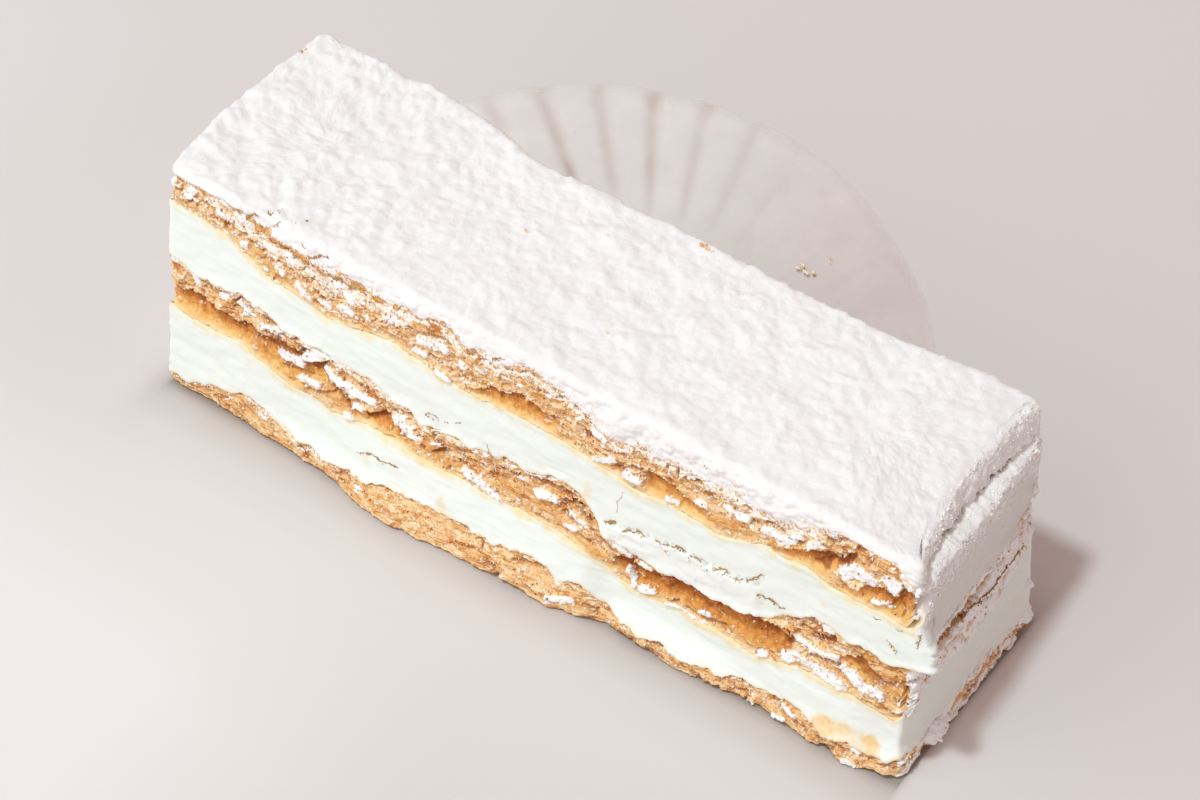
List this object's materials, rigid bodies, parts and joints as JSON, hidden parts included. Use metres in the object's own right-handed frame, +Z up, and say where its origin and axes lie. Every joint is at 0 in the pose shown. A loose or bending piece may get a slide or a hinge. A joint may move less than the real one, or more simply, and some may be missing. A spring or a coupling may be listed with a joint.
{
  "type": "mille feuille slice",
  "caption": "Rectangular slice of layered flaky pastry and white cream under thick icing sugar, resting on a flattened fluted paper case.",
  "frame": {"origin": "middle of the slice's footprint, on the surface it stands on", "axes": "+X along the slice, from the left end to the right end as seen from the long cut side; -Y out of the long cut side that faces the viewer; +Z up"},
  "size_m": [0.1396, 0.1033, 0.0436],
  "materials": {
    "pastry": "matte, flaky, golden brown puff pastry",
    "cream": "smooth, soft sheen, ivory white pastry cream",
    "sugar": "matte, lumpy white icing sugar",
    "paper": "thin translucent greaseproof paper, fluted"
  },
  "bodies": {
    "root": {"pastry_bottom": "pastry", "cream_lower": "cream", "pastry_middle": "pastry", "cream_upper": "cream", "pastry_top": "pastry", "icing_sugar": "sugar", "paper_case": "paper"}
  },
  "joints": []
}
